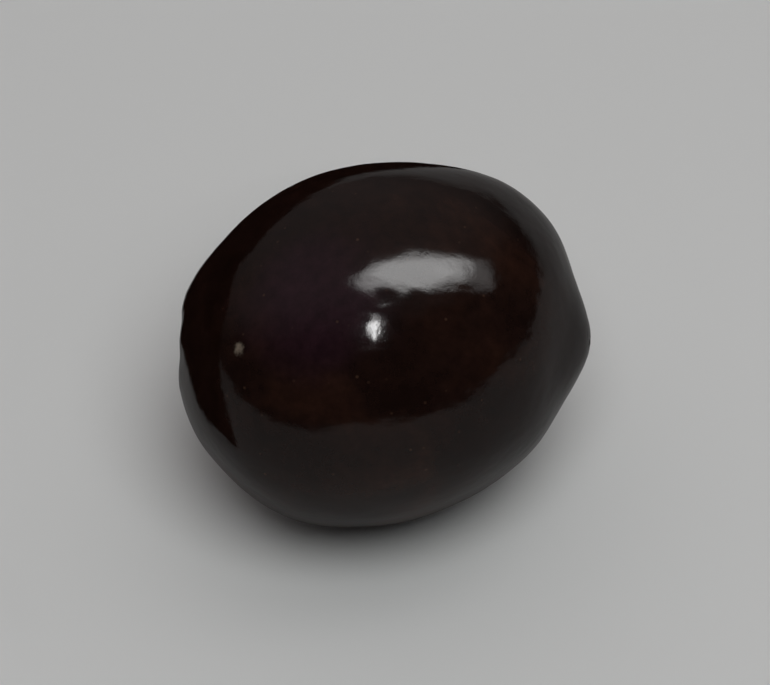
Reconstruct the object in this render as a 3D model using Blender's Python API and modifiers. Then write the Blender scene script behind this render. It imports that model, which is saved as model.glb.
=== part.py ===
"""A black table olive, as lifted from its brine: one whole fruit, lying on its side.

The fruit is turned about its own axis, from the stalk pit to the blunt tip, then leaned, squeezed and
dented as soft fruit is, and pressed flat where it rests.

Frame, in metres: +X from the stalk end to the tip, +Y away from the side that faces the viewer, +Z up,
origin at the middle of the flat spot that the fruit rests on.
"""

import math

import bmesh
import bpy
from mathutils import Matrix, Vector, noise

MM = 0.001

# Driving sizes: the whole fruit
LENGTH = 23.8 * MM  # stalk end to tip, before the tip's point and the stalk pit are added
WIDTH = 21.9 * MM  # across the fruit as it lies
HEIGHT = 21.1 * MM  # off the table, before the flat spot is pressed in
LEAN = 0.137  # how far the far side is pushed towards the tip, for each unit of width
STALK_END_FULLNESS = 0.035  # the stalk end is fuller and the tip end slimmer by this share

# The blunt tip: a low point between two flatter flanks, by angle from the tip in radians
TIP_RISE = 0.22 * MM
TIP_SPREAD = 0.16
FLANK_FALL = 0.24 * MM
FLANK_ANGLE = 0.40
FLANK_SPREAD = 0.20

# The stalk pit: a shallow dish with a raised rim and, in its floor, the scar of the stalk
PIT_DEPTH = 0.80 * MM
PIT_RADIUS = 1.70 * MM
PIT_RIM_RISE = 0.10 * MM
PIT_RIM_RADIUS = 2.55 * MM
PIT_RIM_SPREAD = 0.60 * MM
SCAR_RISE = 0.30 * MM
SCAR_RADIUS = 0.75 * MM

# Soft dents and fuller places: where on the fruit (towards X, Y, Z), half-angle in degrees,
# and depth, which is below zero where the fruit is fuller
DENTS = (
    ((-0.30, 0.92, 0.25), 26.0, 0.34 * MM),
    ((0.12, 0.76, 0.64), 14.0, 0.10 * MM),
    ((0.60, 0.62, 0.50), 18.0, -0.30 * MM),
    ((0.62, -0.62, -0.48), 24.0, 0.14 * MM),
    ((-0.70, -0.55, -0.46), 22.0, 0.26 * MM),
    ((-0.42, -0.70, -0.58), 17.0, -0.30 * MM),
    ((-0.98, 0.15, 0.13), 16.0, -0.25 * MM),
)

# Long shallow furrows on the far side: angle round the axis in degrees from +Z towards +Y,
# where each begins and ends along the axis (-1 stalk end, 1 tip), half-width, and depth
FURROWS = (
    (62.0, -0.85, 0.20, 0.95 * MM, 0.10 * MM),
    (84.0, -0.90, 0.45, 1.10 * MM, 0.13 * MM),
    (110.0, -0.80, 0.10, 0.90 * MM, 0.09 * MM),
    (148.0, -0.85, -0.15, 1.00 * MM, 0.09 * MM),
)

# Broad swell of the skin over the flesh: two sizes of it, the finer one half the size of the other
SWELL_HEIGHT = 0.13 * MM
SWELL_SCALE = 7.0 * MM
SWELL_FADE = 0.8
SWELL_STEP = 2.0
SWELL_SIZES = 2

# The flat spot
FLAT_DEPTH = 0.20 * MM  # how much of the round underside is pressed away

# How finely the fruit is turned
TURN_STEPS = 76
OUTLINE_RINGS = 46
POLE_CROWDING = 0.42  # how much closer the rings lie at the two ends, where the small forms are
WELD_DISTANCE = 1e-6

SKIN_COLOUR = (0.0168, 0.0080, 0.0065, 1.0)  # near-black red brown, linear
SKIN_ROUGHNESS = 0.16


def bell(distance, spread):
    """A smooth bump of height 1 at distance 0."""
    return math.exp(-((distance / spread) ** 2))


def outline():
    """The fruit's outline from tip to stalk end, in the XZ plane with the axis along Z and the tip up."""
    points = []
    for ring in range(OUTLINE_RINGS + 1):
        share = ring / OUTLINE_RINGS
        from_tip = math.pi * share - POLE_CROWDING / 2 * math.sin(2 * math.pi * share)
        across = math.sin(from_tip)
        along = math.cos(from_tip)
        radius = WIDTH / 2 * across * (1 - STALK_END_FULLNESS * along)
        height = LENGTH / 2 * along
        rise = TIP_RISE * bell(from_tip, TIP_SPREAD)
        rise -= FLANK_FALL * bell(from_tip - FLANK_ANGLE, FLANK_SPREAD)
        radius += rise * across
        height += rise * along
        if along < 0:
            height += PIT_DEPTH * bell(radius, PIT_RADIUS)
            height -= PIT_RIM_RISE * bell(radius - PIT_RIM_RADIUS, PIT_RIM_SPREAD)
            height -= SCAR_RISE * bell(radius, SCAR_RADIUS)
        at_pole = ring in (0, OUTLINE_RINGS)
        points.append((0.0 if at_pole else radius, 0.0, height))
    return points


def turned_fruit():
    """The outline turned about its axis, as a bmesh with the tip at +X."""
    points = outline()
    mesh = bpy.data.meshes.new("outline")
    mesh.from_pydata(points, [(i, i + 1) for i in range(len(points) - 1)], [])
    blank = bpy.data.objects.new("outline", mesh)
    bpy.context.scene.collection.objects.link(blank)
    turn = blank.modifiers.new("Turn", "SCREW")
    turn.axis = "Z"
    turn.steps = TURN_STEPS
    turn.render_steps = TURN_STEPS
    turn.use_merge_vertices = True
    turn.merge_threshold = WELD_DISTANCE
    turned = bpy.data.meshes.new_from_object(
        blank.evaluated_get(bpy.context.evaluated_depsgraph_get())
    )
    bpy.data.objects.remove(blank)
    bpy.data.meshes.remove(mesh)
    fruit = bmesh.new()
    fruit.from_mesh(turned)
    bpy.data.meshes.remove(turned)
    bmesh.ops.remove_doubles(fruit, verts=fruit.verts, dist=WELD_DISTANCE)
    tip_to_x = Matrix.Rotation(math.radians(90), 4, "Y")
    bmesh.ops.transform(fruit, matrix=tip_to_x, verts=fruit.verts)
    bmesh.ops.recalc_face_normals(fruit, faces=fruit.faces)
    return fruit


def swell(place):
    """How far the skin stands out at a place, from the slow unevenness of the flesh."""
    return SWELL_HEIGHT * noise.fractal(place / SWELL_SCALE, SWELL_FADE, SWELL_STEP, SWELL_SIZES)


def dent_depth(way):
    """How deep the soft dents are in one direction from the middle of the fruit."""
    depth = 0.0
    for centre, half_angle, deepest in DENTS:
        angle = way.angle(Vector(centre))
        depth += deepest * bell(angle, math.radians(half_angle))
    return depth


def furrow_depth(place):
    """How deep the long furrows are at a place on the skin."""
    along = place.x / (LENGTH / 2)
    off_axis = math.hypot(place.y, place.z)
    turn = math.atan2(place.y, place.z)
    depth = 0.0
    for angle, begin, end, half_width, deepest in FURROWS:
        aside = math.remainder(turn - math.radians(angle), 2 * math.pi) * off_axis
        middle = (begin + end) / 2
        reach = (end - begin) / 2
        fade = max(0.0, 1 - ((along - middle) / reach) ** 2)
        depth += deepest * fade * bell(aside, half_width)
    return depth


def shape_by_hand(fruit):
    """Moves the skin along its normals: the swell outwards, the dents and furrows inwards."""
    moves = []
    for vert in fruit.verts:
        place = vert.co.copy()
        rise = swell(place) - dent_depth(place) - furrow_depth(place)
        moves.append(vert.normal * rise)
    for vert, move in zip(fruit.verts, moves):
        vert.co += move


def lean_and_squeeze(fruit):
    """Pushes the far side towards the tip and makes the fruit lower than it is wide."""
    lean = Matrix.Identity(4)
    lean[0][1] = LEAN
    squeeze = Matrix.Scale(HEIGHT / WIDTH, 4, (0, 0, 1))
    bmesh.ops.transform(fruit, matrix=lean @ squeeze, verts=fruit.verts)


def press_flat_spot(fruit):
    """Cuts the round underside off level, closes it with one face and puts its middle at the origin."""
    level = min(vert.co.z for vert in fruit.verts) + FLAT_DEPTH
    cut = bmesh.ops.bisect_plane(
        fruit,
        geom=fruit.verts[:] + fruit.edges[:] + fruit.faces[:],
        plane_co=(0, 0, level),
        plane_no=(0, 0, -1),
        clear_outer=True,
    )
    rim = [part for part in cut["geom_cut"] if isinstance(part, bmesh.types.BMEdge)]
    spot = bmesh.ops.contextual_create(fruit, geom=rim)["faces"][0]
    middle = spot.calc_center_median_weighted()
    bmesh.ops.translate(fruit, vec=-middle, verts=fruit.verts)
    bmesh.ops.recalc_face_normals(fruit, faces=fruit.faces)


def skin_material():
    """Cured olive skin: near-black red brown with a wet gloss."""
    material = bpy.data.materials.new("olive_skin")
    material.use_nodes = True
    material.diffuse_color = SKIN_COLOUR
    shader = material.node_tree.nodes["Principled BSDF"]
    shader.inputs["Base Color"].default_value = SKIN_COLOUR
    shader.inputs["Roughness"].default_value = SKIN_ROUGHNESS
    shader.inputs["Metallic"].default_value = 0.0
    return material


def main():
    """Empties the scene, makes the fruit and puts it in its own collection."""
    for old in list(bpy.data.objects):
        bpy.data.objects.remove(old)
    part = bpy.data.collections.new("black_olive")
    bpy.context.scene.collection.children.link(part)
    fruit = turned_fruit()
    shape_by_hand(fruit)
    lean_and_squeeze(fruit)
    press_flat_spot(fruit)
    mesh = bpy.data.meshes.new("olive")
    fruit.to_mesh(mesh)
    fruit.free()
    mesh.shade_smooth()
    mesh.materials.append(skin_material())
    part.objects.link(bpy.data.objects.new("olive", mesh))


main()
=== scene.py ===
"""The looks of one black table olive, wet from its brine, on a plain pale floor."""

import math

import bpy
from mathutils import Matrix, Vector


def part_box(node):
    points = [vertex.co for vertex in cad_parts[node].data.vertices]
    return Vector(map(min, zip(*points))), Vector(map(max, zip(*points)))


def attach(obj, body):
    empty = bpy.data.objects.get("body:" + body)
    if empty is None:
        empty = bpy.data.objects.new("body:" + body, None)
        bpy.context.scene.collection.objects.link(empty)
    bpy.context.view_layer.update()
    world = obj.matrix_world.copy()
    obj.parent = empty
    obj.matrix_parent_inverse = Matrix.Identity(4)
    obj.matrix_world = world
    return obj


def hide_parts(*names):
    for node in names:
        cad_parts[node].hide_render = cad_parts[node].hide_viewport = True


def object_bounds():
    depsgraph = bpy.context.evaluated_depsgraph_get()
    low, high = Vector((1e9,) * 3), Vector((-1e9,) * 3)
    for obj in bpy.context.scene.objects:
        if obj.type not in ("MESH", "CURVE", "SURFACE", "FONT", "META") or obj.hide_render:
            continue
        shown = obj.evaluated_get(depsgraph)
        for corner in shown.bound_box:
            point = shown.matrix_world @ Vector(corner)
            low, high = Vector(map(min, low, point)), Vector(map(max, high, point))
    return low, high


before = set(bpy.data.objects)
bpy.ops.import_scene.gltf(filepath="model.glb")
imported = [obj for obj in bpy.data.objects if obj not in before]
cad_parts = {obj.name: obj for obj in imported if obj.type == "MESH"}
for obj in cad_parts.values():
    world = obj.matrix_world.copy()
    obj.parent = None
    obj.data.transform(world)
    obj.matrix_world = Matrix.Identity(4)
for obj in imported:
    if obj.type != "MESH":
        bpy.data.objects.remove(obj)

CAD_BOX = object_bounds()
MM = 0.001

# The fruit's own axis, from the stalk pit to the tip, in the row frame
AXIS_Y = 0.255 * MM
AXIS_Z = 10.37 * MM
PIT_FLOOR = Vector((-11.15 * MM, AXIS_Y, AXIS_Z))
TIP = Vector((12.54 * MM, AXIS_Y, AXIS_Z))
ALONG_FRUIT = Vector((1, 0, 0))

# The smooth mould: how close points are welded, how flat and square two triangles make a face
MOULD_WELD = 0.001 * MM
MOULD_FLATNESS = math.radians(15)
MOULD_SQUARENESS = math.radians(60)
MOULD_HALVINGS = 2

# The fine skin: how the starting block is cut, and how much its facets are evened out
SKIN_CUTS = 6
SKIN_HALVINGS = 4
SKIN_EVENING = 8
PIT_REACH = 3.3 * MM
PIT_CUTS = 3
TIP_REACH = 1.3 * MM
TIP_CUTS = 2

# Relief of the skin, each as (size, height): slow swell, ripple, lengthwise creases and leathery grain
SWELL = (3.4 * MM, 0.060 * MM)
RIPPLE = (1.25 * MM, 0.026 * MM)
CREASES = (0.95 * MM, 0.016 * MM)
CREASE_STRETCH = 3.6
GRAIN = (0.46 * MM, 0.009 * MM)

# The name of the group of skin points that lie near the guides of a mark
NEAR = "near"

# Small marks pressed into the skin, as (place, width, depth): three under the highlight, and a nick
NICK = Vector((-7.98, -5.43, 16.65)) * MM
DIMPLES = (
    (Vector((0.45, -4.50, 19.88)) * MM, 0.95 * MM, 0.040 * MM),
    (Vector((2.40, -4.50, 19.70)) * MM, 0.95 * MM, 0.022 * MM),
    (Vector((5.60, -4.40, 18.90)) * MM, 1.10 * MM, 0.016 * MM),
    (NICK, 0.85 * MM, 0.060 * MM),
)

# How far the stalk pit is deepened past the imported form, as a dimple
PIT_PRESS = (PIT_FLOOR, 2.1 * MM, 0.42 * MM)

# Puckers round the stalk pit, as (how many, start radius, reach, wander, width, depth, seed)
LONG_PUCKERS = (7, 1.3 * MM, 1.9, 0.50 * MM, 1.00 * MM, 0.055 * MM, 5)
SHORT_PUCKERS = (13, 1.0 * MM, 1.6, 0.24 * MM, 0.42 * MM, 0.034 * MM, 8)
PUCKER_CUTS = 5

# Rings round the axis, as (radius, wander, width, depth, seed): three in the stalk pit, one at the tip
TORN_EDGE = (1.12 * MM, 0.10 * MM, 0.30 * MM, -0.050 * MM, 3)
SCAR_GROOVE = (0.80 * MM, 0.07 * MM, 0.24 * MM, 0.110 * MM, 4)
SCAR_HOLE = (0.10 * MM, 0.04 * MM, 0.30 * MM, 0.150 * MM, 6)
STYLE_RING = (0.36 * MM, 0.04 * MM, 0.24 * MM, 0.060 * MM, 2)
RING_POINTS = 26

# The crumb of the stalk scar, as (size, height), and how far it spreads
SCAR_CRUMB = (0.24 * MM, 0.120 * MM)
SCAR_RADIUS = 0.85 * MM

# Ground colour of the skin, as (share of the way, colour) from its darkest to its palest brown
GROUND_TONES = (
    (0.32, "#140906"),
    (0.52, "#1d100c"),
    (0.70, "#2a1811"),
)
DRIFT_SIZE = 7 * MM

# The purple blush, partly the skin's own purple and partly a painted sheen beside the highlight: its middle,
# its patches, and its edge as (fray, full within, gone past)
BLUSH_AND_SHEEN_MIDDLE = Vector((-3.2, -4.2, 19.7)) * MM
BLUSH_AND_SHEEN_PATCH = 4 * MM
BLUSH_AND_SHEEN_EDGE = (5 * MM, 3.5 * MM, 8.5 * MM)
BLUSH_AND_SHEEN_COLOUR = "#27161d"
BLUSH_AND_SHEEN_MOST = 0.85

# Fine mottle of the skin: its size, and how far it darkens and brightens the ground
MOTTLE_SIZE = 0.8 * MM
MOTTLE_GAIN = (0.72, 1.30)

# Pores: their spacing, the edge of a dot in shares of it, how many stay hidden and how pale they get
PORE_SPACING = 1.05 * MM
PORE_EDGE = (0.04, 0.12)
PORES_HIDDEN = 0.3
PORE_MOST = 0.4
PORE_COLOUR = "#5b4436"

# The stalk scar: its fibres, its edge as (fray, full within, gone past), and its browns from inside out
FIBRE_SIZE = 0.55 * MM
SCAR_EDGE = (1.5 * MM, 1.8 * MM, 2.5 * MM)
SCAR_SPAN = (0.75 * MM, 2.55 * MM)
SCAR_TONES = (
    (0.04, "#1a100b"),
    (0.12, "#2e2018"),
    (0.24, "#4a3728"),
    (0.38, "#5b4634"),
    (0.50, "#3c2a1e"),
    (0.60, "#1b110c"),
    (0.74, "#33211a"),
    (1.00, "#2c1811"),
)

# The dried style at the tip: its edge as (full within, gone past)
STYLE_EDGE = (0.25 * MM, 0.50 * MM)
STYLE_COLOUR = "#0d0907"
STYLE_MOST = 0.8

# The painted highlight on the nick: a pale fleck with a frayed edge, as (fray, full within, gone past)
NICK_GLINT_EDGE = (1.3 * MM, 0.60 * MM, 1.15 * MM)
NICK_GLINT_COLOUR = "#857a6c"
NICK_GLINT_MOST = 0.9

# The matt skin under the film: its roughness, and the bump of its leather and its pores
SKIN_ROUGHNESS = (0.42, 0.52)
SKIN_IOR = 1.35
LEATHER_SIZE = 0.22 * MM
LEATHER_DEPTH = 0.03 * MM
LEATHER_BUMP = 0.5
PORE_DEPTH = 0.04 * MM
PORE_BUMP = 0.2

# The wet film on the skin, which makes all of the gloss
FILM_WEIGHT = 0.36
FILM_WEIGHT_ON_SCAR = 0.04
FILM_ROUGHNESS = 0.10
FILM_IOR = 1.55
FILM_BUMP = 0.16

# The span that the values of a soft noise mostly fill
NOISE_SPAN = (0.3, 0.7)

# The floor, its top a hair below the fruit so that the two faces don't fight
FLOOR_SIDE = 2.4
FLOOR_SINK = 0.02 * MM
FLOOR_COLOUR = "#e3e6e5"
FLOOR_ROUGHNESS = 0.6

# The wall behind the floor
WALL_RADIUS = 1.0
WALL_HEIGHT = 1.2
WALL_MIDDLE = 0.55
WALL_COLOUR = "#dfe3e3"
WALL_GLOW = 0.45
SCREEN_SIDES = 96

# The dark card: highest towards one way, falling in a curve to where this share of that way is left
CARD_RADIUS = 23 * MM
CARD_HEIGHT = 21 * MM
CARD_BLANK = 4 * MM
CARD_TOWARD = Vector((-0.79, 0.61, 0))
CARD_END = 0.36
CARD_CURVE = 0.33
CARD_SINK = 0.5 * MM  # how far its lowered edge lies under the floor
CARD_COLOUR = "#1c1310"

# Soft boxes of the long highlight, as (towards, way of the long side, size, panes of size and radiance)
TOP_BOX = (
    (0.318, 0.140, 0.92),
    Vector((1, 0.16, 0)),
    (0.60, 0.27),
    ((1.0, 3.4), (0.85, 5.2), (0.62, 5.6)),
)
SIDE_BOX = (
    (0.70, 0.20, 0.70),
    ALONG_FRUIT,
    (0.31, 0.19),
    ((1.0, 0.7), (0.84, 0.8), (0.64, 0.9)),
)
BOX_DISTANCE = 0.60
PANE_GAP = 0.01

# Single lamps, as (towards, distance, size, radiance)
CEILING = ((0.12, -0.40, 1.0), 0.90, (0.66, 0.54), 3.9)
SMALL_LAMP = ((0.085, -0.485, 0.86), 0.50, (0.030, 0.15), 66)

# The room: a dim glow from behind and above, by how nearly a way points there
GLOW_TOWARD = Vector((-0.20, 0.60, 0.77))
GLOW_SPAN = (0.25, 1.0)
GLOW_STRENGTH = (0.04, 0.42)
ROOM_COLOUR = "#efe6e6"

# View of the photograph: straight across the fruit's axis, and this far above the horizon
CAMERA_ELEVATION = math.radians(50)
CAMERA_DISTANCE = 0.50
CAMERA_LENS = 400
CAMERA_SENSOR = 36


def linear(code):
    """A colour written as sRGB hex, turned to linear."""
    parts = [int(code[i:i + 2], 16) / 255 for i in (1, 3, 5)]
    return tuple(c / 12.92 if c <= 0.04045 else ((c + 0.055) / 1.055) ** 2.4 for c in parts) + (1.0,)


def per_metre(size):
    """A texture's scale from the real size of its pattern."""
    return 1 / size


def add_node(tree, kind, settings=(), inputs=()):
    """Adds one node to a tree. An input is given a value, or the output it is linked to."""
    made = tree.nodes.new(kind)
    for name, value in dict(settings).items():
        setattr(made, name, value)
    for name, value in dict(inputs).items():
        if isinstance(value, bpy.types.NodeSocket):
            tree.links.new(value, made.inputs[name])
        else:
            made.inputs[name].default_value = value
    return made


def only(piece):
    """Makes one object the selected and active one."""
    bpy.ops.object.select_all(action="DESELECT")
    piece.select_set(True)
    bpy.context.view_layer.objects.active = piece


def apply_modifier(piece, kind, **settings):
    """Adds a modifier to a piece and applies it."""
    only(piece)
    modifier = piece.modifiers.new(kind.title(), kind)
    for name, value in settings.items():
        setattr(modifier, name, value)
    bpy.ops.object.modifier_apply(modifier=modifier.name)


def smooth_mould():
    """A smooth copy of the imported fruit, which the fine skin is wrapped on."""
    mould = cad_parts["olive"].copy()
    mould.data = mould.data.copy()
    mould.parent = None
    bpy.context.scene.collection.objects.link(mould)
    only(mould)
    bpy.ops.object.mode_set(mode="EDIT")
    bpy.ops.mesh.select_all(action="SELECT")
    bpy.ops.mesh.remove_doubles(threshold=MOULD_WELD)
    bpy.ops.mesh.tris_convert_to_quads(face_threshold=MOULD_FLATNESS, shape_threshold=MOULD_SQUARENESS)
    bpy.ops.object.mode_set(mode="OBJECT")
    apply_modifier(mould, "SUBSURF", levels=MOULD_HALVINGS, render_levels=MOULD_HALVINGS)
    return mould


def cut_finer(fruit, place, reach, cuts):
    """Cuts the skin finer round one place, where small forms are pressed in."""
    only(fruit)
    bpy.ops.object.mode_set(mode="EDIT")
    bpy.ops.mesh.select_mode(type="FACE")
    bpy.ops.mesh.select_all(action="DESELECT")
    bpy.ops.object.mode_set(mode="OBJECT")
    for face in fruit.data.polygons:
        face.select = (face.center - place).length < reach
    bpy.ops.object.mode_set(mode="EDIT")
    bpy.ops.mesh.subdivide(number_cuts=cuts)
    bpy.ops.mesh.select_mode(type="VERT")
    bpy.ops.object.mode_set(mode="OBJECT")


def wrapped_block(mould):
    """A block cut into small squares and rounded to an egg, then wrapped on the mould and evened out."""
    low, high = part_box("olive")
    bpy.ops.object.select_all(action="DESELECT")
    bpy.ops.mesh.primitive_cube_add(size=1, location=(low + high) / 2, scale=(high - low))
    fruit = bpy.context.object
    fruit.name = "olive_fruit"
    bpy.ops.object.mode_set(mode="EDIT")
    bpy.ops.mesh.select_all(action="SELECT")
    bpy.ops.mesh.subdivide(number_cuts=SKIN_CUTS)
    bpy.ops.object.mode_set(mode="OBJECT")
    apply_modifier(fruit, "SUBSURF", levels=SKIN_HALVINGS, render_levels=SKIN_HALVINGS)
    apply_modifier(fruit, "CAST", cast_type="SPHERE", factor=1.0)
    bpy.ops.object.transform_apply(location=True, rotation=True, scale=True)
    apply_modifier(fruit, "SHRINKWRAP", target=mould, wrap_method="TARGET_PROJECT")
    cut_finer(fruit, PIT_FLOOR, PIT_REACH, PIT_CUTS)
    cut_finer(fruit, TIP, TIP_REACH, TIP_CUTS)
    apply_modifier(fruit, "SHRINKWRAP", target=mould, wrap_method="TARGET_PROJECT")
    apply_modifier(fruit, "SMOOTH", factor=0.5, iterations=SKIN_EVENING)
    return fruit


def raise_relief(fruit, name, relief, stretch=1.0, kind="SOFT_NOISE", group=""):
    """Lifts and lowers the skin by a noise of one size, drawn out along the fruit by its stretch."""
    size, height = relief
    cloud = bpy.data.textures.new(name, "CLOUDS")
    cloud.noise_basis = "ORIGINAL_PERLIN"
    cloud.noise_type = kind
    cloud.noise_scale = size
    cloud.noise_depth = 1
    bpy.ops.object.empty_add()
    drawn_out = bpy.context.object
    drawn_out.scale = (stretch, 1, 1)
    apply_modifier(
        fruit,
        "DISPLACE",
        texture=cloud,
        texture_coords="OBJECT",
        texture_coords_object=drawn_out,
        strength=height,
        mid_level=0.5,
        vertex_group=group,
    )
    bpy.data.objects.remove(drawn_out)
    bpy.data.textures.remove(cloud)


def weigh_by_distance(fruit, guides, geometry, width):
    """A vertex group that is full on the guides and fades to nothing one width away from them."""
    near = fruit.vertex_groups.new(name=NEAR)
    near.add(range(len(fruit.data.vertices)), 1.0, "REPLACE")
    apply_modifier(
        fruit,
        "VERTEX_WEIGHT_PROXIMITY",
        vertex_group=NEAR,
        target=guides,
        proximity_mode="GEOMETRY",
        proximity_geometry={geometry},
        min_dist=0.0,
        max_dist=width,
        falloff_type="SMOOTH",
        invert_falloff=True,
    )


def press_along(fruit, guides, geometry, width, depth):
    """Presses the skin in along the edges or points of the guides. A depth below zero raises it."""
    apply_modifier(guides, "SHRINKWRAP", target=fruit, wrap_method="NEAREST_SURFACEPOINT")
    weigh_by_distance(fruit, guides, geometry, width)
    apply_modifier(fruit, "DISPLACE", vertex_group=NEAR, strength=-depth, mid_level=0.0)
    fruit.vertex_groups.remove(fruit.vertex_groups[NEAR])
    bpy.data.objects.remove(guides)


def circle_round_axis(place, points, radius):
    """A circle of guide points that faces along the fruit's axis."""
    bpy.ops.object.select_all(action="DESELECT")
    bpy.ops.mesh.primitive_circle_add(
        vertices=points, radius=radius, location=place, rotation=(0, math.radians(90), 0)
    )
    return bpy.context.object


def guide_point(place):
    """The smallest circle of guide points, which stands for a single one."""
    return circle_round_axis(place, 3, 0.01 * MM)


def press_ring(fruit, place, ring):
    """Presses an uneven ring into the skin, or raises one, round a place on the axis."""
    radius, wander, width, depth, seed = ring
    guides = circle_round_axis(place, RING_POINTS, radius)
    bpy.ops.object.mode_set(mode="EDIT")
    bpy.ops.mesh.select_all(action="SELECT")
    bpy.ops.transform.vertex_random(offset=wander, seed=seed)
    bpy.ops.object.mode_set(mode="OBJECT")
    press_along(fruit, guides, "EDGE", width, depth)


def press_puckers(fruit, puckers):
    """Presses uneven creases into the skin that fan out from the stalk pit."""
    count, start, reach, wander, width, depth, seed = puckers
    guides = circle_round_axis(PIT_FLOOR, count, start)
    bpy.ops.object.mode_set(mode="EDIT")
    bpy.ops.mesh.delete(type="EDGE_FACE")
    bpy.ops.mesh.select_all(action="SELECT")
    bpy.ops.mesh.extrude_region_move()
    bpy.ops.transform.resize(value=(reach,) * 3, center_override=PIT_FLOOR)
    bpy.ops.transform.vertex_random(offset=2 * wander, seed=seed)
    bpy.ops.mesh.select_all(action="SELECT")
    bpy.ops.mesh.subdivide(number_cuts=PUCKER_CUTS)
    bpy.ops.transform.vertex_random(offset=wander / 2, seed=seed)
    bpy.ops.object.mode_set(mode="OBJECT")
    press_along(fruit, guides, "EDGE", width, depth)


def press_dimple(fruit, dimple):
    """Presses one round dimple into the skin."""
    place, width, depth = dimple
    press_along(fruit, guide_point(place), "VERTEX", width, depth)


def crumble_scar(fruit):
    """Roughens the corky floor of the stalk scar."""
    guides = guide_point(PIT_FLOOR)
    weigh_by_distance(fruit, guides, "VERTEX", SCAR_RADIUS)
    bpy.data.objects.remove(guides)
    raise_relief(fruit, "crumb", SCAR_CRUMB, group=NEAR)
    fruit.vertex_groups.remove(fruit.vertex_groups[NEAR])


def colour_stops(ramp, tones):
    """Gives a colour ramp its tones, each as (share of the way, colour)."""
    first, *between, last = tones
    for stop, (position, code) in zip(ramp.elements, (first, last)):
        stop.position = position
        stop.color = linear(code)
    for position, code in between:
        stop = ramp.elements.new(position)
        stop.color = linear(code)


def frayed_distance(tree, place, centre, pattern, fray):
    """How far a place on the skin is from a centre, made uneven by a pattern so that an edge frays."""
    plain = add_node(tree, "ShaderNodeVectorMath", {"operation": "DISTANCE"}, {0: place, 1: centre})
    frayed = add_node(tree, "ShaderNodeMath", {"operation": "MULTIPLY_ADD"}, {
        0: pattern, 1: fray, 2: plain.outputs["Value"],
    })
    return frayed.outputs["Value"]


def ground_colour(tree, place):
    """The skin's near-black red brown, which drifts slowly over the fruit. Gives the drift as well."""
    drift = add_node(tree, "ShaderNodeTexNoise", inputs={
        "Vector": place, "Scale": per_metre(DRIFT_SIZE), "Detail": 3.0, "Roughness": 0.55, "Distortion": 0.6,
    })
    ground = add_node(tree, "ShaderNodeValToRGB", inputs={"Fac": drift.outputs["Fac"]})
    colour_stops(ground.color_ramp, GROUND_TONES)
    return ground.outputs["Color"], drift.outputs["Fac"]


def blushed_and_sheened(tree, place, colour):
    """Lays the purple blush over a colour: partly the skin's own purple, partly a painted sheen beside the
    highlight.
    """
    patches = add_node(tree, "ShaderNodeTexNoise", inputs={
        "Vector": place, "Scale": per_metre(BLUSH_AND_SHEEN_PATCH), "Detail": 2.0, "Roughness": 0.5,
    })
    fray, full, gone = BLUSH_AND_SHEEN_EDGE
    share = add_node(tree, "ShaderNodeMapRange", {"interpolation_type": "SMOOTHSTEP"}, {
        "Value": frayed_distance(tree, place, BLUSH_AND_SHEEN_MIDDLE, patches.outputs["Fac"], fray),
        "From Min": full, "From Max": gone, "To Min": BLUSH_AND_SHEEN_MOST, "To Max": 0.0,
    })
    # partly painted sheen: a brighter purple patch laid beside the highlight
    purple_and_sheen = add_node(tree, "ShaderNodeMix", {"data_type": "RGBA"}, {
        "Factor": share.outputs["Result"], "A": colour, "B": linear(BLUSH_AND_SHEEN_COLOUR),
    })
    return purple_and_sheen.outputs["Result"]


def mottled(tree, place, colour):
    """Darkens and brightens a colour in fine patches, as cured skin is."""
    mottle = add_node(tree, "ShaderNodeTexNoise", inputs={
        "Vector": place, "Scale": per_metre(MOTTLE_SIZE), "Detail": 5.0, "Roughness": 0.62,
    })
    gain = add_node(tree, "ShaderNodeMapRange", inputs={
        "Value": mottle.outputs["Fac"], "From Min": NOISE_SPAN[0], "From Max": NOISE_SPAN[1],
        "To Min": MOTTLE_GAIN[0], "To Max": MOTTLE_GAIN[1],
    })
    scaled = add_node(tree, "ShaderNodeVectorMath", {"operation": "SCALE"}, {
        "Vector": colour, "Scale": gain.outputs["Result"],
    })
    return scaled.outputs["Vector"]


def pored(tree, place, colour):
    """Dots a colour with fine pale pores, some fainter and some hidden. Gives the dots as well."""
    pores = add_node(tree, "ShaderNodeTexVoronoi", inputs={
        "Vector": place, "Scale": per_metre(PORE_SPACING), "Randomness": 1.0,
    })
    dots = add_node(tree, "ShaderNodeMapRange", {"interpolation_type": "SMOOTHSTEP"}, {
        "Value": pores.outputs["Distance"], "From Min": PORE_EDGE[0], "From Max": PORE_EDGE[1],
        "To Min": 1.0, "To Max": 0.0,
    })
    odds = add_node(tree, "ShaderNodeSeparateColor", inputs={"Color": pores.outputs["Color"]})
    shown = add_node(tree, "ShaderNodeMapRange", inputs={
        "Value": odds.outputs["Red"], "From Min": PORES_HIDDEN, "From Max": 1.0,
        "To Min": 0.0, "To Max": PORE_MOST,
    })
    share = add_node(tree, "ShaderNodeMath", {"operation": "MULTIPLY"}, {
        0: dots.outputs["Result"], 1: shown.outputs["Result"],
    })
    speckled = add_node(tree, "ShaderNodeMix", {"data_type": "RGBA"}, {
        "Factor": share.outputs["Value"], "A": colour, "B": linear(PORE_COLOUR),
    })
    return speckled.outputs["Result"], dots.outputs["Result"]


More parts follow.
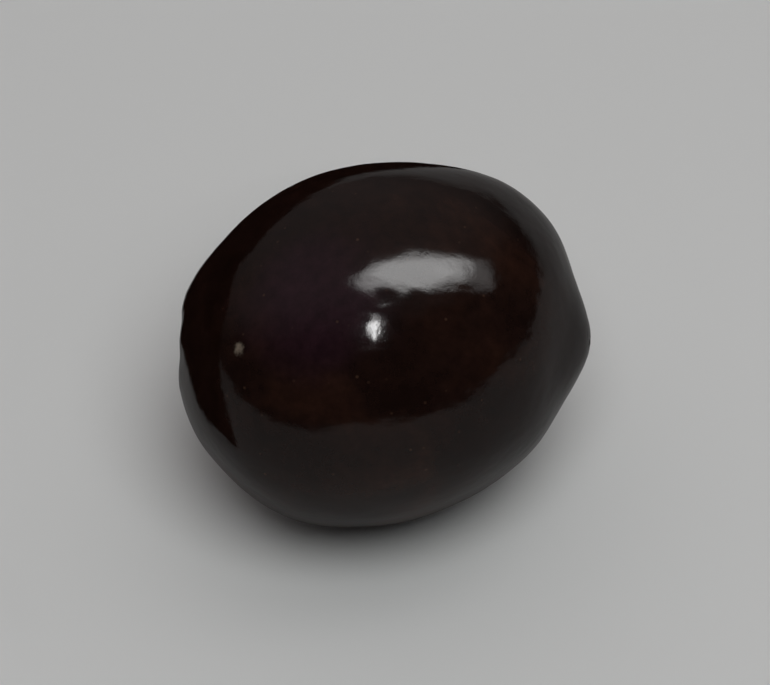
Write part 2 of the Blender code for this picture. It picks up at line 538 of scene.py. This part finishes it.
def scarred(tree, place, colour, fibres):
    """Lays the corky stalk scar over a colour. Gives the scar's share as well."""
    fray, full, gone = SCAR_EDGE
    from_pit = frayed_distance(tree, place, PIT_FLOOR, fibres, fray)
    outwards = add_node(tree, "ShaderNodeMapRange", inputs={
        "Value": from_pit, "From Min": SCAR_SPAN[0], "From Max": SCAR_SPAN[1],
    })
    cork = add_node(tree, "ShaderNodeValToRGB", inputs={"Fac": outwards.outputs["Result"]})
    colour_stops(cork.color_ramp, SCAR_TONES)
    share = add_node(tree, "ShaderNodeMapRange", {"interpolation_type": "SMOOTHSTEP"}, {
        "Value": from_pit, "From Min": full, "From Max": gone, "To Min": 1.0, "To Max": 0.0,
    })
    corky = add_node(tree, "ShaderNodeMix", {"data_type": "RGBA"}, {
        "Factor": share.outputs["Result"], "A": colour, "B": cork.outputs["Color"],
    })
    return corky.outputs["Result"], share.outputs["Result"]


def tipped(tree, place, colour):
    """Lays the dark dried style over a colour at the tip."""
    from_tip = add_node(tree, "ShaderNodeVectorMath", {"operation": "DISTANCE"}, {0: place, 1: TIP})
    share = add_node(tree, "ShaderNodeMapRange", {"interpolation_type": "SMOOTHSTEP"}, {
        "Value": from_tip.outputs["Value"], "From Min": STYLE_EDGE[0], "From Max": STYLE_EDGE[1],
        "To Min": STYLE_MOST, "To Max": 0.0,
    })
    styled = add_node(tree, "ShaderNodeMix", {"data_type": "RGBA"}, {
        "Factor": share.outputs["Result"], "A": colour, "B": linear(STYLE_COLOUR),
    })
    return styled.outputs["Result"]


def glinted_nick(tree, place, colour, fibres):
    """Lays a painted highlight, a pale fleck, over a colour on the nick."""
    fray, full, gone = NICK_GLINT_EDGE
    share = add_node(tree, "ShaderNodeMapRange", {"interpolation_type": "SMOOTHSTEP"}, {
        "Value": frayed_distance(tree, place, NICK, fibres, fray),
        "From Min": full, "From Max": gone, "To Min": NICK_GLINT_MOST, "To Max": 0.0,
    })
    # painted highlight: a pale fleck laid over the nick's dent
    glinted = add_node(tree, "ShaderNodeMix", {"data_type": "RGBA"}, {
        "Factor": share.outputs["Result"], "A": colour, "B": linear(NICK_GLINT_COLOUR),
    })
    return glinted.outputs["Result"]


def matt_skin(tree, shader, leather, dots, drift):
    """The skin itself: matt and leathery, a little rougher in places, with its pores sunk in."""
    roughness = add_node(tree, "ShaderNodeMapRange", inputs={
        "Value": drift, "From Min": NOISE_SPAN[0], "From Max": NOISE_SPAN[1],
        "To Min": SKIN_ROUGHNESS[0], "To Max": SKIN_ROUGHNESS[1],
    })
    leather_bump = add_node(tree, "ShaderNodeBump", inputs={
        "Strength": LEATHER_BUMP, "Distance": LEATHER_DEPTH, "Height": leather,
    })
    pore_bump = add_node(tree, "ShaderNodeBump", {"invert": True}, {
        "Strength": PORE_BUMP, "Distance": PORE_DEPTH, "Height": dots,
        "Normal": leather_bump.outputs["Normal"],
    })
    tree.links.new(roughness.outputs["Result"], shader.inputs["Roughness"])
    tree.links.new(pore_bump.outputs["Normal"], shader.inputs["Normal"])
    shader.inputs["Metallic"].default_value = 0.0
    shader.inputs["IOR"].default_value = SKIN_IOR
    shader.inputs["Specular IOR Level"].default_value = 0.0


def wet_film(tree, shader, leather, scar_share):
    """The film of brine and oil: it gives the clear highlights, and the corky scar soaks it up."""
    bump = add_node(tree, "ShaderNodeBump", inputs={
        "Strength": FILM_BUMP, "Distance": LEATHER_DEPTH, "Height": leather,
    })
    weight = add_node(tree, "ShaderNodeMapRange", inputs={
        "Value": scar_share, "To Min": FILM_WEIGHT, "To Max": FILM_WEIGHT_ON_SCAR,
    })
    tree.links.new(bump.outputs["Normal"], shader.inputs["Coat Normal"])
    tree.links.new(weight.outputs["Result"], shader.inputs["Coat Weight"])
    shader.inputs["Coat Roughness"].default_value = FILM_ROUGHNESS
    shader.inputs["Coat IOR"].default_value = FILM_IOR


def olive_skin():
    """Brine-cured olive skin: thin and leathery, near-black red brown under a wet gloss."""
    material = bpy.data.materials.new("cured_olive_skin")
    material.use_nodes = True
    tree = material.node_tree
    shader = tree.nodes["Principled BSDF"]
    place = add_node(tree, "ShaderNodeTexCoord").outputs["Object"]
    fibres = add_node(tree, "ShaderNodeTexNoise", inputs={
        "Vector": place, "Scale": per_metre(FIBRE_SIZE), "Detail": 5.0, "Roughness": 0.65,
    }).outputs["Fac"]
    leather = add_node(tree, "ShaderNodeTexNoise", inputs={
        "Vector": place, "Scale": per_metre(LEATHER_SIZE), "Detail": 4.0, "Roughness": 0.6,
    }).outputs["Fac"]
    colour, drift = ground_colour(tree, place)
    colour = blushed_and_sheened(tree, place, colour)
    colour = mottled(tree, place, colour)
    colour, dots = pored(tree, place, colour)
    colour, scar_share = scarred(tree, place, colour, fibres)
    colour = tipped(tree, place, colour)
    colour = glinted_nick(tree, place, colour, fibres)
    tree.links.new(colour, shader.inputs["Base Color"])
    matt_skin(tree, shader, leather, dots, drift)
    wet_film(tree, shader, leather, scar_share)
    return material


def dressed_fruit():
    """The whole fruit with its fine relief and its skin."""
    mould = smooth_mould()
    fruit = wrapped_block(mould)
    bpy.data.objects.remove(mould)
    raise_relief(fruit, "swell", SWELL)
    raise_relief(fruit, "ripple", RIPPLE)
    raise_relief(fruit, "creases", CREASES, stretch=CREASE_STRETCH, kind="HARD_NOISE")
    press_dimple(fruit, PIT_PRESS)
    press_puckers(fruit, LONG_PUCKERS)
    press_puckers(fruit, SHORT_PUCKERS)
    press_ring(fruit, PIT_FLOOR, TORN_EDGE)
    press_ring(fruit, PIT_FLOOR, SCAR_GROOVE)
    press_ring(fruit, PIT_FLOOR, SCAR_HOLE)
    press_ring(fruit, TIP, STYLE_RING)
    crumble_scar(fruit)
    for dimple in DIMPLES:
        press_dimple(fruit, dimple)
    raise_relief(fruit, "grain", GRAIN)
    only(fruit)
    bpy.ops.object.shade_smooth()
    fruit.data.materials.append(olive_skin())
    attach(fruit, "root")
    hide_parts("olive")


def paint(piece, name, colour, roughness):
    """Paints a piece with matt paint of one colour, which hides all grain, and gives the shader."""
    material = bpy.data.materials.new(name)
    material.use_nodes = True
    shader = material.node_tree.nodes["Principled BSDF"]
    shader.inputs["Base Color"].default_value = linear(colour)
    shader.inputs["Roughness"].default_value = roughness
    piece.data.materials.append(material)
    return shader


def pale_floor():
    """A plain pale floor under the fruit."""
    bpy.ops.object.select_all(action="DESELECT")
    bpy.ops.mesh.primitive_plane_add(size=FLOOR_SIDE, location=(0, 0, -FLOOR_SINK))
    floor = bpy.context.object
    floor.name = "floor"
    paint(floor, "matt_pale_floor", FLOOR_COLOUR, FLOOR_ROUGHNESS)


def round_screen(name, radius, height, middle):
    """A thin upright screen all round the fruit, which gives no light and casts no shadow."""
    bpy.ops.object.select_all(action="DESELECT")
    bpy.ops.mesh.primitive_cylinder_add(
        vertices=SCREEN_SIDES,
        radius=radius,
        depth=height,
        end_fill_type="NOTHING",
        location=(0, 0, middle),
    )
    screen = bpy.context.object
    screen.name = name
    screen.visible_diffuse = False
    screen.visible_shadow = False
    return screen


def pale_wall():
    """A plain pale wall, which only the camera sees, in views from low down."""
    wall = round_screen("wall", WALL_RADIUS, WALL_HEIGHT, WALL_MIDDLE)
    wall.visible_glossy = False
    shader = paint(wall, "plain_pale_wall", "#000000", 1.0)
    shader.inputs["Emission Color"].default_value = linear(WALL_COLOUR)
    shader.inputs["Emission Strength"].default_value = WALL_GLOW


def dark_card():
    """A dark card bent round the stalk end and the back, which only the wet film mirrors."""
    card = round_screen("dark_card", CARD_RADIUS, CARD_BLANK, 0)
    for point in card.data.vertices:
        facing = point.co.dot(CARD_TOWARD) / CARD_RADIUS
        share = max(0.0, (facing - CARD_END) / (1 - CARD_END))
        if point.co.z > 0:
            point.co.z = CARD_HEIGHT * share ** CARD_CURVE - CARD_SINK
    card.visible_camera = False
    shader = paint(card, "matt_dark_card", CARD_COLOUR, 1.0)
    shader.inputs["Specular IOR Level"].default_value = 0.0


def area_light(name, aim, lamp, along=ALONG_FRUIT):
    """An oval lamp that faces the fruit from one direction, its first side along the way given."""
    toward, distance, (length, width), radiance = lamp
    light = bpy.data.lights.new(name, "AREA")
    light.shape = "ELLIPSE"
    light.size = length
    light.size_y = width
    light.energy = radiance * math.pi * math.pi / 4 * length * width
    holder = bpy.data.objects.new(name, light)
    bpy.context.scene.collection.objects.link(holder)
    away = Vector(toward).normalized()
    level = (along - away * along.dot(away)).normalized()
    holder.rotation_euler = Matrix((level, away.cross(level), away)).transposed().to_euler()
    holder.location = aim + away * distance
    holder.visible_camera = False
    return holder


def soft_edged_box(name, aim, box):
    """A soft box that only the wet film mirrors: nested panes, each a little in front of the last."""
    toward, along, (length, width), panes = box
    for count, (share, radiance) in enumerate(panes):
        size = (length * share, width * share)
        pane = area_light(name, aim, (toward, BOX_DISTANCE - PANE_GAP * count, size, radiance), along)
        pane.visible_diffuse = False


def dim_room():
    """A dark room with a soft glow from behind and above."""
    world = bpy.data.worlds.new("dim_room")
    bpy.context.scene.world = world
    world.use_nodes = True
    tree = world.node_tree
    way = add_node(tree, "ShaderNodeTexCoord").outputs["Generated"]
    facing = add_node(tree, "ShaderNodeVectorMath", {"operation": "DOT_PRODUCT"}, {0: way, 1: GLOW_TOWARD})
    glow = add_node(tree, "ShaderNodeMapRange", {"interpolation_type": "SMOOTHSTEP"}, {
        "Value": facing.outputs["Value"], "From Min": GLOW_SPAN[0], "From Max": GLOW_SPAN[1],
        "To Min": GLOW_STRENGTH[0], "To Max": GLOW_STRENGTH[1],
    })
    background = tree.nodes["Background"]
    background.inputs["Color"].default_value = linear(ROOM_COLOUR)
    tree.links.new(glow.outputs["Result"], background.inputs["Strength"])


def studio(aim):
    """A ceiling of soft light, two soft boxes, a small lamp near the camera, and a dim room."""
    ceiling = area_light("ceiling", aim, CEILING)
    ceiling.visible_glossy = False
    soft_edged_box("top_box", aim, TOP_BOX)
    soft_edged_box("side_box", aim, SIDE_BOX)
    small_lamp = area_light("small_lamp", aim, SMALL_LAMP)
    small_lamp.visible_diffuse = False
    dim_room()


def photo_camera(aim):
    """A close view of the fruit from the photograph's side."""
    data = bpy.data.cameras.new("camera")
    data.sensor_width = CAMERA_SENSOR
    data.lens = CAMERA_LENS
    camera = bpy.data.objects.new("camera", data)
    bpy.context.scene.collection.objects.link(camera)
    back = Vector((0, -math.cos(CAMERA_ELEVATION), math.sin(CAMERA_ELEVATION)))
    camera.location = aim + back * CAMERA_DISTANCE
    camera.rotation_euler = back.to_track_quat("Z", "Y").to_euler()
    bpy.context.scene.camera = camera


middle = (CAD_BOX[0] + CAD_BOX[1]) / 2
dressed_fruit()
pale_floor()
pale_wall()
dark_card()
studio(middle)
photo_camera(middle)
bpy.context.scene.view_settings.view_transform = "Standard"
